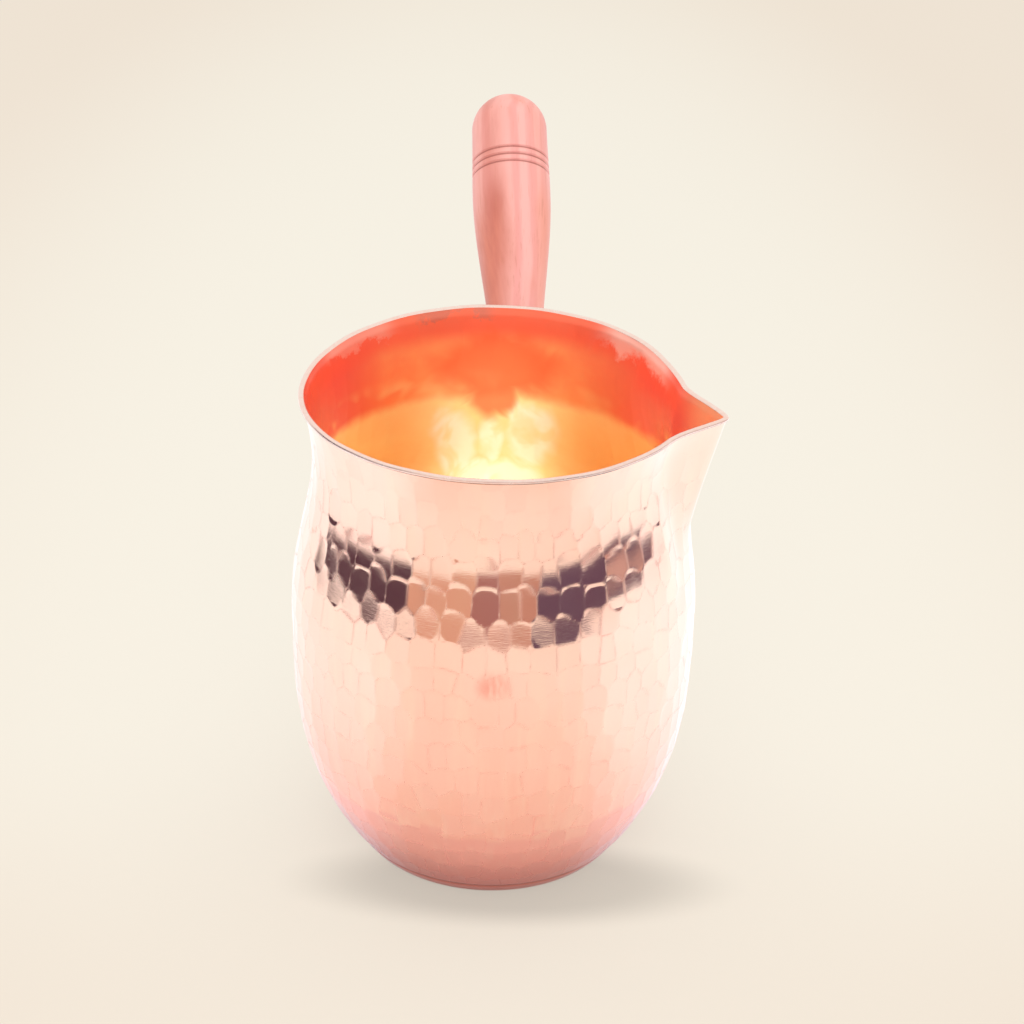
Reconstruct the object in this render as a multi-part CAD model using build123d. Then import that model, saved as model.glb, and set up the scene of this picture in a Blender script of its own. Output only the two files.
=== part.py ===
from build123d import *
import math
import os

# Hammered copper pouring jug: a raised shell with a side spout, a riveted saddle plate
# with a tapered socket, and a turned wooden handle screwed on a stud and pinned.
# Millimetres and degrees. +Z is up, and the origin is the centre of the flat base.
# The saddle plate faces +Y, the spout faces +X, and the handle rises towards +Y.

# Jug body: base to belly, belly to neck, and neck to rim
belly_height = 71.0
shoulder_height = 46.0
flare_height = 17.8
belly_radius = 55.0
neck_radius = 49.0
rim_radius = 52.0
base_radius = 35.3  # where the curve of the wall would meet the floor, before rounding
belly_fullness = 3.06  # power of the lower wall's curve: higher keeps the belly straighter
shoulder_fullness = 1.16  # power of the shoulder's curve: above 1 turns it inward higher up
base_corner = 4.0
wall_thickness = 1.3
floor_thickness = 1.5
rim_bead_height = 0.9
rim_bead_overhang = 0.3
rim_edge_round = 0.28

# Spout, pulled out of the neck wall
spout_azimuth = -3.6
spout_reach = 8.5  # tip beyond the rim's circle
spout_lean = 15.0  # ridge line from the vertical
spout_half_angle = 18.9
spout_root_half_angle = 13.0
spout_flank_power = 1.95
spout_tip_softness = 1.4
spout_root_blend = 3.0  # larger rounds the corner between the ridge line and the wall more
spout_root_fade = 22.0  # height over which the root fades out, below that corner
draw_in_front = 0.4  # how far the rim is drawn inward on each side of the spout
draw_in_back = 2.2
draw_in_angle = 29.4
draw_in_width = 24.0

# Handle axis, from the anchor point on the wall
handle_azimuth = 90.0
handle_rise = 42.0
handle_skew = 12.0  # turned from square, away from the spout
anchor_height = 66.0

# Tapered socket
socket_root_radius = 8.2
socket_mouth_radius = 9.8
socket_wall = 1.2
socket_bead_radius = 1.0
braze_gap = 0.05

# Rivets: one on each side of the socket's foot, and one under it
rivet_radius = 1.9
rivet_hole_clearance = 0.08
rivet_head_overhang = 1.7
rivet_head_height = 1.5
rivet_tail_overhang = 1.2
rivet_tail_height = 1.2
rivet_seat_gap = 0.15
rivet_side_margin = 2.7  # from the socket's foot to the rivet's outer head
rivet_low_margin = 2.9
rivet_rise = 6.0  # side rivets above the anchor point

# Saddle plate
plate_thickness = 2.0
plate_gap = 0.12  # solder film between plate and wall
plate_edge_margin = 2.9  # metal around each rivet's outer head

# Stud, screwed into a boss on the plate
stud_radius = 3.0
stud_end_gap = 0.95
stud_length = 66.0
thread_length = 6.5
thread_clearance = 0.05
boss_side_gap = 1.6

# Turned wooden handle: shank in the socket, shoulder, waist, swell and domed end
shank_end_gap = 1.5
shank_length = 23.5
shank_clearance = 0.1
shoulder_step = 0.5
waist_run = 14.0  # from the socket's mouth
waist_radius = 7.6
swell_run = 56.6
swell_radius = 12.0
end_run = 33.9
end_radius = 11.6  # of the half ball at the end
groove_count = 3
groove_spacing = 2.45
groove_from_tip = 22.9
groove_wire_radius = 0.6
groove_depth = 0.45
stud_bore_clearance = 0.1
stud_bore_relief = 2.0

# Pins that lock the handle in its socket
pin_inset = 11.0  # from the socket's mouth
pin_radius = 0.8
pin_backing = 1.3  # wood between pin and stud bore
pin_clearance = 0.05
pin_head_radius = 1.7
pin_head_height = 0.8
pin_seat_gap = 0.2

# Modelling resolution
belly_stations = 14
spout_stations = 20
section_points = 20  # on each side of the spout
overrun = 5.0  # how far a cutting tool runs past what it cuts

neck_height = belly_height + shoulder_height
jug_height = neck_height + flare_height

rivet_head_radius = rivet_radius + rivet_head_overhang
rivet_tail_radius = rivet_radius + rivet_tail_overhang
socket_foot_reach = socket_root_radius / math.cos(math.radians(handle_rise))
rivet_spread = socket_root_radius + rivet_side_margin + rivet_tail_radius
rivet_drop = socket_foot_reach + rivet_low_margin + rivet_tail_radius
plate_lobe_radius = rivet_tail_radius + plate_edge_margin
plate_outside = plate_gap + plate_thickness
plate_low = anchor_height - rivet_drop - plate_lobe_radius - overrun
plate_high = anchor_height + rivet_rise + plate_lobe_radius + overrun

# Stations are distances along the handle axis from the anchor point
stud_dip = (plate_outside + stud_radius * math.sin(math.radians(handle_rise))) / math.cos(
    math.radians(handle_rise)
)
stud_start = stud_dip + stud_end_gap
boss_radius = socket_root_radius - socket_wall - boss_side_gap
boss_top = stud_start + thread_length
shank_start = boss_top + shank_end_gap
socket_mouth = shank_start + shank_length
shoulder_radius = socket_mouth_radius - shoulder_step
waist_station = socket_mouth + waist_run
swell_station = waist_station + swell_run
handle_tip = swell_station + end_run
dome_start = handle_tip - end_radius
stud_bore_radius = stud_radius + stud_bore_clearance
pin_station = socket_mouth - pin_inset


def smooth(t):
    """Rises from 0 to 1 with level ends."""
    t = min(max(t, 0.0), 1.0)
    return t * t * (3.0 - 2.0 * t)


def wall_radius(z):
    """Outer radius of the round jug at height z."""
    if z <= belly_height:
        down = (belly_height - z) / belly_height
        return belly_radius - (belly_radius - base_radius) * down**belly_fullness
    if z <= neck_height:
        up = ((z - belly_height) / shoulder_height) ** shoulder_fullness
        return neck_radius + (belly_radius - neck_radius) * (1 + math.cos(math.pi * up)) / 2
    up = (z - neck_height) / flare_height
    return neck_radius + (rim_radius - neck_radius) * up**2


def wall_slope(z):
    """Change of the outer radius with height."""
    step = 0.01
    low, high = max(z - step, 0.0), min(z + step, jug_height)
    return (wall_radius(high) - wall_radius(low)) / (high - low)


def ridge_radius(z):
    """Radius of the spout's straight ridge line at height z."""
    return rim_radius + spout_reach - (jug_height - z) * math.tan(math.radians(spout_lean))


def find_spout_root():
    """Height where the spout's ridge line leaves the round wall, below the neck."""
    low, high = belly_height, neck_height
    for _ in range(40):
        middle = (low + high) / 2
        if ridge_radius(middle) > wall_radius(middle):
            high = middle
        else:
            low = middle
    return high


spout_root = find_spout_root()


def spout_stand_out(z):
    """How far the spout stands out of the round wall at height z, with a rounded root."""
    ahead = ridge_radius(z) - wall_radius(z)
    fade = smooth((z - spout_root + spout_root_fade) / spout_root_fade)
    return (ahead + math.hypot(ahead, spout_root_blend)) / 2 * fade


def skin_radius(turn, z):
    """Outer radius at an angle from the spout, in degrees, and a height, spout included."""
    stand_out = spout_stand_out(z)
    up = smooth((z - spout_root) / (jug_height - spout_root))
    half_angle = spout_root_half_angle + (spout_half_angle - spout_root_half_angle) * up
    away = math.hypot(turn, spout_tip_softness) - spout_tip_softness
    flank = max(0.0, 1.0 - away / half_angle) ** spout_flank_power
    drawn = draw_in_front if turn < 0 else draw_in_back
    drawn *= math.exp(-(((abs(turn) - draw_in_angle) / draw_in_width) ** 2))
    drawn *= smooth(abs(turn) / half_angle)
    return wall_radius(z) + stand_out * flank - stand_out / spout_reach * drawn


def section_turns():
    """Angles from the spout, closer together near it, once round from the far side."""
    half = [180.0 * (k / section_points) ** 2 for k in range(section_points + 1)]
    return [-a for a in reversed(half[1:])] + half[:-1]


def skin_section(z, inset=0.0):
    """Closed outline of the jug at height z, moved in by a distance square to the wall."""
    turns = section_turns()
    points = []
    step = 0.2
    low, high = max(z - step, 0.0), min(z + step, jug_height)
    for turn in turns:
        radius = skin_radius(turn, z)
        change = skin_radius(turn + step, z) - skin_radius(turn - step, z)
        sweep = change / math.radians(2 * step) / radius
        rise = (skin_radius(turn, high) - skin_radius(turn, low)) / (high - low)
        reach = radius - inset * math.sqrt(1.0 + sweep**2 + rise**2)
        angle = math.radians(turn + spout_azimuth)
        points.append((reach * math.cos(angle), reach * math.sin(angle), z))
    knots = [(turn - turns[0]) / 360.0 for turn in turns] + [1.0]
    return Wire([Edge.make_spline(points, periodic=True, parameters=knots)])


def section_heights(bottom):
    """Heights of the sections: closer together near the base, and evenly up the spout."""
    top = jug_height - rim_bead_height
    middle = spout_root - spout_root_fade
    lower = [bottom + (middle - bottom) * (k / belly_stations) ** 1.5 for k in range(belly_stations)]
    upper = [middle + (top - middle) * k / spout_stations for k in range(spout_stations + 1)]
    return lower + upper


def vessel(inset, bottom, corner):
    """Solid inside the wall, from bottom to the underside of the rim bead."""
    solid = Solid.make_loft([skin_section(z, inset) for z in section_heights(bottom)])
    return fillet(solid.edges().sort_by(Axis.Z)[0], corner)


def make_jug_body():
    """Shell with its spout, rolled rim bead and rivet holes."""
    bead_bottom = jug_height - rim_bead_height
    bead = extrude(Face(skin_section(jug_height, -rim_bead_overhang)), amount=-rim_bead_height)
    bead = fillet(bead.edges().group_by(Axis.Z)[-1], rim_edge_round)
    mouth = extrude(
        Face(skin_section(bead_bottom, wall_thickness)),
        amount=rim_bead_height + overrun,
    )
    inner_corner = max(base_corner - wall_thickness, wall_thickness / 2)
    outer = vessel(0.0, 0.0, base_corner)
    inner = vessel(wall_thickness, floor_thickness, inner_corner)
    body = outer + bead - inner - mouth
    for hole in rivet_holes():
        body = body - hole
    return body


def round_jug(offset):
    """Round wall moved out by offset, as a solid over the plate's range of height."""
    count = 8
    heights = [plate_low + (plate_high - plate_low) * k / count for k in range(count + 1)]
    side = Spline(
        *[(wall_radius(z) + offset * math.hypot(1.0, wall_slope(z)), 0, z) for z in heights]
    )
    outline = Polyline(side @ 1, (0, 0, plate_high), (0, 0, plate_low), side @ 0)
    return revolve(make_face([side, outline]), axis=Axis.Z)


def wall_frame(azimuth, z):
    """Plane on the round outer wall, with its normal pointing out of the jug."""
    radius, slope, turn = wall_radius(z), wall_slope(z), math.radians(azimuth)
    return Plane(
        origin=(radius * math.cos(turn), radius * math.sin(turn), z),
        x_dir=(-math.sin(turn), math.cos(turn), 0),
        z_dir=(math.cos(turn), math.sin(turn), -slope),
    )


def handle_frame():
    """Plane at the anchor point, with its normal along the handle axis."""
    turn, rise = math.radians(handle_azimuth + handle_skew), math.radians(handle_rise)
    return Plane(
        origin=wall_frame(handle_azimuth, anchor_height).origin,
        x_dir=(math.sin(turn), -math.cos(turn), 0),
        z_dir=(math.cos(turn) * math.cos(rise), math.sin(turn) * math.cos(rise), math.sin(rise)),
    )


def rivet_places():
    """Name, sideways distance and height above the anchor point of each rivet."""
    return (
        ("rivet_left", rivet_spread, rivet_rise),
        ("rivet_right", -rivet_spread, rivet_rise),
        ("rivet_lower", 0.0, -rivet_drop),
    )


def rivet_frames():
    """Wall plane of each rivet, by name."""
    frames = {}
    for name, across, up in rivet_places():
        z = anchor_height + up
        turn = math.degrees(math.asin(across / wall_radius(z)))
        frames[name] = wall_frame(handle_azimuth + turn, z)
    return frames


def rod(frame, radius, start, end):
    """Cylinder along a frame's normal, between two distances from its origin."""
    return extrude(frame.offset(start) * Circle(radius), amount=end - start)


def dome(frame, radius, height, start, side):
    """Low round head whose flat is at start; side is 1 or -1 along the normal."""
    ball = (radius**2 + height**2) / (2 * height)
    outline = make_face(
        [
            Line((0, 0), (radius, 0)),
            RadiusArc((radius, 0), (0, height), -ball),
            Line((0, height), (0, 0)),
        ]
    )
    seat = Plane(
        origin=frame.origin + frame.z_dir * start,
        x_dir=frame.x_dir,
        z_dir=frame.z_dir * side,
    )
    return seat * revolve(Plane.XZ * outline, axis=Axis.Z)


def rivet_holes():
    """Cutting rods through wall and plate at each rivet."""
    radius = rivet_radius + rivet_hole_clearance
    return [rod(frame, radius, -overrun, overrun) for frame in rivet_frames().values()]


def make_rivet(frame):
    """Rivet with a domed head inside the jug and a smaller set head outside."""
    inside = -wall_thickness - rivet_seat_gap
    outside = plate_outside + rivet_seat_gap
    shank = rod(frame, rivet_radius, inside, outside)
    head = dome(frame, rivet_head_radius, rivet_head_height, inside, -1)
    tail = dome(frame, rivet_tail_radius, rivet_tail_height, outside, 1)
    return shank + head + tail


def make_saddle_plate():
    """Curved plate, a rounded triangle that follows the wall, with its rivet holes."""
    lobes = [Pos(-across, up) * Circle(plate_lobe_radius) for _, across, up in rivet_places()]
    hull = make_hull([edge for lobe in lobes for edge in lobe.edges()])
    side = Plane(origin=(0, 0, anchor_height), x_dir=(-1, 0, 0), z_dir=(0, 1, 0))
    prism = extrude(side * hull, amount=belly_radius + plate_outside + overrun, dir=(0, 1, 0))
    skin = round_jug(plate_outside) - round_jug(plate_gap)
    plate = skin & (Rot(0, 0, handle_azimuth - 90.0) * prism)
    for hole in rivet_holes():
        plate = plate - hole
    return plate


def socket_radius(station):
    """Outer radius of the tapered socket at a distance along the handle axis."""
    share = station / socket_mouth
    return socket_root_radius + (socket_mouth_radius - socket_root_radius) * share


def make_handle_socket():
    """Tapered tube with a bead at its mouth, trimmed to the saddle plate."""
    start = -socket_root_radius * math.tan(math.radians(handle_rise)) - overrun
    bead_low = socket_mouth - 2 * socket_bead_radius
    root_outside = (socket_radius(start), start)
    root_inside = (socket_radius(start) - socket_wall, start)
    mouth_inside = (socket_mouth_radius - socket_wall, socket_mouth)
    mouth_outside = (socket_mouth_radius, socket_mouth)
    bead_end = (socket_radius(bead_low), bead_low)
    bead_crest = (socket_mouth_radius + socket_bead_radius, socket_mouth - socket_bead_radius)
    outline = make_face(
        [
            Line(root_inside, mouth_inside),
            Line(mouth_inside, mouth_outside),
            ThreePointArc(mouth_outside, bead_crest, bead_end),
            Line(bead_end, root_outside),
            Line(root_outside, root_inside),
        ]
    )
    tube = handle_frame() * revolve(Plane.XZ * outline, axis=Axis.Z)
    tube = tube - round_jug(plate_outside + braze_gap)
    for frame in pin_frames().values():
        tube = tube - rod(frame, pin_radius + pin_clearance, -socket_wall - overrun / 2, overrun)
    return tube


def make_stud_boss():
    """Tapped boss on the plate, inside the socket's root."""
    frame = handle_frame()
    boss = rod(frame, boss_radius, -boss_radius - overrun, boss_top)
    boss = boss - round_jug(plate_outside + braze_gap)
    return boss - rod(frame, stud_radius + thread_clearance, stud_start, boss_top + overrun)


def make_handle_stud():
    """Threaded rod, drawn as its plain outer cylinder with chamfered ends."""
    stud = rod(handle_frame(), stud_radius, stud_start, stud_start + stud_length)
    return chamfer(stud.edges().filter_by(GeomType.CIRCLE), stud_radius / 5)


def handle_radius(station):
    """Radius of the turned handle between its shoulder and its domed end."""
    if station <= waist_station:
        share = smooth((station - socket_mouth) / waist_run)
        return shoulder_radius + (waist_radius - shoulder_radius) * share
    if station <= swell_station:
        share = smooth((station - waist_station) / swell_run)
        return waist_radius + (swell_radius - waist_radius) * share
    share = smooth((station - swell_station) / (dome_start - swell_station))
    return swell_radius + (end_radius - swell_radius) * share


def handle_outline():
    """Half section of the wooden handle: shank, shoulder, grip and domed end."""
    count = 12
    stations = [socket_mouth + (dome_start - socket_mouth) * k / count for k in range(count + 1)]
    grip = Spline(*[(handle_radius(s), s) for s in stations], tangents=[(0, 1), (0, 1)])
    fit = socket_wall + shank_clearance
    shank_root = (socket_radius(shank_start) - fit, shank_start)
    shank_top = (socket_mouth_radius - fit, socket_mouth)
    corner = end_radius * math.sqrt(0.5)
    dome_middle = (corner, dome_start + corner)
    return make_face(
        [
            Line((0, handle_tip), (0, shank_start)),
            Line((0, shank_start), shank_root),
            Line(shank_root, shank_top),
            Line(shank_top, (shoulder_radius, socket_mouth)),
            grip,
            ThreePointArc((end_radius, dome_start), dome_middle, (0, handle_tip)),
        ]
    )


def make_wooden_handle():
    """Turned handle with its decorative grooves, stud bore and pin holes."""
    outline = handle_outline()
    for k in range(groove_count):
        station = handle_tip - groove_from_tip - k * groove_spacing
        centre = handle_radius(station) + groove_wire_radius - groove_depth
        outline = outline - Pos(centre, station) * Circle(groove_wire_radius)
    handle = handle_frame() * revolve(Plane.XZ * outline, axis=Axis.Z)
    bore_end = stud_start + stud_length + stud_bore_relief
    handle = handle - rod(handle_frame(), stud_bore_radius, shank_start - overrun, bore_end)
    for frame in pin_frames().values():
        depth = pin_depth() + pin_clearance
        handle = handle - rod(frame, pin_radius + pin_clearance, -depth, overrun)
    return handle


def pin_depth():
    """Length of a pin's shank from the socket's skin, short of the stud bore."""
    return socket_radius(pin_station) - stud_bore_radius - pin_backing


def pin_frames():
    """Planes on the socket's two sides, with normals square to the handle axis."""
    frame = handle_frame()
    frames = {}
    for name, side in (("socket_pin_left", -1), ("socket_pin_right", 1)):
        out = frame.x_dir * side
        origin = frame.origin + frame.z_dir * pin_station + out * socket_radius(pin_station)
        frames[name] = Plane(origin=origin, x_dir=frame.z_dir, z_dir=out)
    return frames


def make_pin(frame):
    """Brass pin: a domed head outside the socket and a plain shank into the wood."""
    shank = rod(frame, pin_radius, -pin_depth(), pin_seat_gap)
    return shank + dome(frame, pin_head_radius, pin_head_height, pin_seat_gap, 1)


def main():
    os.makedirs("parts", exist_ok=True)
    parts = {
        "jug_body": make_jug_body(),
        "saddle_plate": make_saddle_plate(),
        "handle_socket": make_handle_socket(),
        "stud_boss": make_stud_boss(),
        "handle_stud": make_handle_stud(),
        "wooden_handle": make_wooden_handle(),
    }
    for name, frame in rivet_frames().items():
        parts[name] = make_rivet(frame)
    for name, frame in pin_frames().items():
        parts[name] = make_pin(frame)
    for name, shape in parts.items():
        export_step(shape, f"parts/{name}.step")


main()
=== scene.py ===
import math

import bpy
import numpy as np
from mathutils import Matrix, Vector


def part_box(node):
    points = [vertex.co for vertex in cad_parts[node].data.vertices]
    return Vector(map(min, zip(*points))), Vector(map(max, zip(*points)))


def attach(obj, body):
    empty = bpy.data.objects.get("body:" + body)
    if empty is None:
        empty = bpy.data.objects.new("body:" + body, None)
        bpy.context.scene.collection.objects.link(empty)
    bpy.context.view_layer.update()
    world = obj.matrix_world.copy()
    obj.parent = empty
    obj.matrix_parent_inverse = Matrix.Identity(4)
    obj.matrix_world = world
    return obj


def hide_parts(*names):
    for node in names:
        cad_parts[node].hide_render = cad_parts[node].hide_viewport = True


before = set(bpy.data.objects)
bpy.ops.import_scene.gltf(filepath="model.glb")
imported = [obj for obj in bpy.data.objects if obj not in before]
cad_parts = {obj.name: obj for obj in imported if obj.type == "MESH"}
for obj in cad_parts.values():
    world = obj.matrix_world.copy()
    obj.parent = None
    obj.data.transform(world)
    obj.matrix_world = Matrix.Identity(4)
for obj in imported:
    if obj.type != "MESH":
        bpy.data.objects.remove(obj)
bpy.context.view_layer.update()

# Lengths are in metres and angles in degrees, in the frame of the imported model:
# +Z up, the saddle plate and handle towards +Y, the spout towards +X.
mm = 0.001

# Jug wall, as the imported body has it
jug_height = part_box("jug_body")[1].z
belly_height = 71.0 * mm
neck_height = 117.0 * mm
belly_radius = 55.0 * mm
neck_radius = 49.0 * mm
rim_radius = 52.0 * mm
base_radius = 35.3 * mm
belly_fullness = 3.06
shoulder_fullness = 1.16
base_corner = 4.0 * mm
wall_thickness = 1.3 * mm
floor_thickness = 1.5 * mm
bead_height = 0.9 * mm
bead_overhang = 0.3 * mm
bead_foot = jug_height - bead_height
spout_azimuth = -3.6
spout_reach = 8.5 * mm
spout_lean = 15.0
spout_half_angle = 18.9
spout_root_half_angle = 13.0
spout_flank_power = 1.95
spout_tip_softness = 1.4
spout_root_blend = 3.0 * mm
spout_root_fade = 22.0 * mm
draw_in_front = 0.4 * mm
draw_in_back = 2.2 * mm
draw_in_angle = 29.4
draw_in_width = 24.0

# The neck's hollow lies higher on both sides of the spout than round the rest.
# Pairs are a start and a run; these angles are counted from the spout.
neck_lift = 6.0 * mm
lift_beside_spout = (8.0, 12.0)
lift_far_end = 55.0
lift_far_run = 20.0
lift_above = (82.0 * mm, 16.0 * mm)
lift_below_rim = 18.0 * mm

# The hand-made rim is highest at the back, beside the handle
rim_lift = 2.7 * mm
rim_lift_turn = 102.3
rim_lift_power = 1.4

# Hammer marks
marks_round = 55
mark_row_pitch = 7.4 * mm
rows_below_base = 2.0
spare_rows = 6
mark_squareness = 3.0
mark_half_width = 0.56  # share of the distance to the next mark
mark_half_height = 0.58
mark_edge_slope = 0.14
mark_edge_width = 0.03 * mm
mark_shingle = 0.006  # each mark lies a little deeper at its top than at its foot
mark_hollow = 0.024 * mm
mark_top = 0.15 * mm
mark_jitter = 0.17
mark_jitter_limit = 0.3
mark_tilt = 0.010
upright_jitter = 0.6  # share of the jitter and tilt that works up and down the wall
upright_jitter_limit = 0.2
mark_depth = 0.010 * mm
ridge_softness = 0.004 * mm
outer_seed = 11
inner_seed = 23

# Where the marks fade in or out: starts and runs in height, and the shares that go
foot_fade = (3.0 * mm, 4.0 * mm)
rim_fade = (118.0 * mm, 12.0 * mm)
rim_fade_share = 0.7
spout_ridge_width = 3.0
spout_ridge_run = 6.0 * mm
spout_ridge_share = 0.8
inner_foot_fade = (6.0 * mm, 8.0 * mm)
inner_ridge_share = 0.5
inner_mark_share = 0.45
inner_dent_limit = 0.3 * mm

# Crease round the foot of the wall
crease_height = 4.3 * mm
crease_depth = 0.28 * mm
crease_width = 0.5 * mm

# Section of the rim bead, from the outside to the inside: shares of the overhang outwards or of
# the wall's thickness inwards, and shares of the bead's height down from the top
bead_outside = (
    (-0.05, 1.22),
    (-0.03, 1.02),
    (0.75, 0.97),
    (1.0, 0.75),
    (1.0, 0.50),
    (0.85, 0.25),
    (0.45, 0.08),
    (0.0, 0.02),
)
bead_inside = ((0.3, 0.0), (0.62, 0.02), (0.82, 0.14), (0.95, 0.40), (1.0, 0.80))
bead_rings_inside = 2  # how many of these already have the finish of the inside
bead_sweep_depth = 0.3 * mm  # where the wall's direction under the bead is taken
bead_waves = ((0.10 * mm, 3.0, 40.0), (0.05 * mm, 17.0, 0.0))  # height, waves round, angle

# Mesh of the jug, and the samples that its lengths and angles are read from
profile_samples = 2000
turn_samples = 4001
root_halvings = 40
jug_columns = 800
ridge_crowding = 1.6
ridge_crowding_width = 9.0
outer_rows = 300
inner_rows = 110
floor_rings = 14
floor_centre = 0.08  # share of the floor's radius that its cap takes up
corner_rings = 8
outer_wall_top = bead_foot - 0.4 * mm
inner_wall_top = jug_height - 1.4 * mm

# Handle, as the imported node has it; stations run along its axis from the anchor point
anchor_height = 66.0 * mm
handle_rise = 42.0
handle_azimuth = 102.0
shank_start = 14.5 * mm
shank_radius = 7.5 * mm
shank_flare = 1.0 * mm
socket_mouth = 38.0 * mm
shoulder_radius = 9.3 * mm
shoulder_edge = ((0.3 * mm, 0.0), (0.06 * mm, 0.15 * mm))  # inwards, and on from the socket
profile_gap = 0.4 * mm
waist_run = 14.0 * mm
waist_radius = 7.6 * mm
swell_run = 56.6 * mm
swell_radius = 12.0 * mm
end_run = 33.9 * mm
end_radius = 11.6 * mm
groove_count = 3
groove_spacing = 2.45 * mm
groove_from_tip = 22.9 * mm
groove_depth = 0.42 * mm
groove_half_width = 0.55 * mm
waist_station = socket_mouth + waist_run
swell_station = waist_station + swell_run
handle_tip = swell_station + end_run
dome_setback = 0.03 * mm
dome_start = handle_tip - end_radius - dome_setback
groove_stations = [handle_tip - groove_from_tip - k * groove_spacing for k in range(groove_count)]
handle_sides = 128
grip_step = 1.2 * mm
groove_step = 0.09 * mm
end_step = 0.8 * mm
dome_rings = 22
dome_last_lift = 88.0

# Paint of the outside; a pair is where a colour begins or ends to show
# Warm tint towards the base: partly oxide, partly painted shade reflected from the table
warm_and_shade_heights = (10.0 * mm, 95.0 * mm)
# Painted shade: a ring and the foot low on the wall, the crease, and a line under the bead
shade_ring_heights = (26.5 * mm, 28.5 * mm)
foot_shade_heights = (3.0 * mm, 24.0 * mm)
crease_shade_width = 0.8 * mm
bead_shadow_height = bead_foot - 0.25 * mm
bead_shadow_width = 0.35 * mm
# Painted light: paler on the side towards the spout
painted_light_towards_spout = (5.0 * mm, 42.0 * mm)
scuff_place = (0.0080, -0.0541, 0.0770)
scuff_reach = (1.0 * mm, 6.0 * mm)
pale_pinks = ((0.985, 0.675, 0.545), (0.980, 0.625, 0.485))
# The warm pinks are partly oxide and partly painted shade
warm_and_shade_pinks = ((0.985, 0.515, 0.385), (0.980, 0.465, 0.345))
column_colour = (0.990, 0.700, 0.520)
tone_colour = (0.980, 0.500, 0.400)
edge_colour = (0.960, 0.360, 0.280)
# Painted shade in a ring low on the wall
shade_ring_colour = (0.900, 0.390, 0.340)
scuff_colour = (0.900, 0.330, 0.250)
# Painted shade at the foot, in the crease and in a line under the bead
foot_shade_colour = (0.690, 0.280, 0.240)
crease_shade_colour = (0.450, 0.200, 0.160)
bead_shadow_colour = (0.160, 0.080, 0.070)

# Paint of the inside, mostly painted light and shade, with pairs of heights and of places along X and
# Y
lit_to_shaded_heights = (109.0 * mm, 114.0 * mm)
lip_heights = (126.0 * mm, 132.0 * mm)
floor_heights = (3.0 * mm, 12.0 * mm)
drift_height = 116.0 * mm
drift_half_height = 6.0 * mm
redder_right = (6.0 * mm, 42.0 * mm)
redder_left = (-47.0 * mm, -34.0 * mm)
spout_channel = (46.0 * mm, 55.0 * mm)
back_wall = (15.0 * mm, 30.0 * mm)
# Lit and shaded copies of the inside copper: painted light below, painted shade above, at the sides
# and under the lip
lit_golden_colours = ((1.0, 0.700, 0.290), (1.0, 0.820, 0.380))
shaded_deep_colours = ((1.0, 0.280, 0.115), (1.0, 0.410, 0.155))
side_shade_colour = (0.860, 0.100, 0.085)
low_right_shade_colour = (1.0, 0.420, 0.160)
lip_shade_colour = (0.940, 0.135, 0.070)
spout_colour = (1.0, 0.460, 0.230)
drift_colour = (1.0, 0.620, 0.260)
floor_colour = (0.800, 0.400, 0.210)
# Painted highlight colours, and the colour of the painted dark reflections
highlight_cream_colours = ((1.0, 0.840, 0.470), (1.0, 0.970, 0.740))
highlight_curl_colour = (1.0, 0.760, 0.380)
dark_reflection_colour = (1.0, 0.150, 0.055)

# Spots on the inner back wall, in millimetres: place across, height, half width, half height.
# Painted highlights low on the wall, standing for the reflected swirl of light, a curl in them, and
# painted dark reflections above and between them.
painted_highlight_spots = (
    (-12.0, 94.0, 7.0, 14.0),
    (-2.6, 96.0, 3.2, 8.0),
    (8.5, 98.5, 9.0, 12.0),
    (-1.5, 82.0, 16.0, 8.0),
)
highlight_curl_spots = ((7.2, 99.5, 4.6, 6.5),)
dark_reflection_spots = ((-0.8, 111.0, 6.5, 8.5), (-1.0, 121.0, 20.0, 10.5))
spot_edge = (0.6, 1.15)

# Paler and darker patches under the rim: angle from +X and half width, how softly each one ends
# sideways, the heights in millimetres between which it begins, its strength and its colour
rim_patches = (
    (44.0, 28.0, 0.6, 129.8, 133.2, 0.75, (0.960, 0.560, 0.460)),
    (150.0, 22.0, 0.5, 132.0, 133.5, 0.40, (0.930, 0.480, 0.370)),
    (113.0, 18.0, 0.5, 134.6, 136.2, 0.60, (0.580, 0.190, 0.130)),
)

# Colours of the rim, the small parts and the wood
rim_colours = ((0.950, 0.760, 0.680), (0.930, 0.680, 0.590))
nick_colour = (0.200, 0.100, 0.080)
# Painted shadow line at the foot of the rim bead
rim_foot_shadow_heights = (bead_foot - 0.1 * mm, bead_foot + 0.1 * mm)
rim_foot_shadow_colour = (0.150, 0.090, 0.080)
plain_copper_colours = ((0.940, 0.620, 0.480), (0.860, 0.450, 0.330))
tarnish_colour = (0.480, 0.220, 0.170)
brass_colours = ((0.880, 0.700, 0.360), (0.780, 0.580, 0.260))
steel_colours = ((0.600, 0.600, 0.610), (0.480, 0.480, 0.490))
wood_colours = ((0.825, 0.350, 0.315), (0.885, 0.430, 0.385))
# Painted shade down both sides of the handle, and a dark figure that is partly painted shade
shade_streak_colour = (0.610, 0.175, 0.110)
faint_shade_colour = (0.790, 0.280, 0.190)
heart_and_shade_colour = (0.500, 0.125, 0.090)
blotch_colour = (0.720, 0.230, 0.150)
pore_colour = (0.560, 0.190, 0.120)
char_colour = (0.300, 0.080, 0.060)
black = (0.0, 0.0, 0.0)

# Painted shade in streaks down both sides of the handle, and a dark figure that is partly painted
# shade: places across it, and stations between which they grow fainter
shade_streak_side = -6.5 * mm
shade_streak_width = 7.0 * mm
heart_and_shade_width = 5.5 * mm
faint_shade_side = 9.0 * mm
faint_shade_width = 5.5 * mm
shade_streaks_fade = (96.0 * mm, 114.0 * mm)
char_half_width = 0.62 * mm

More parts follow.
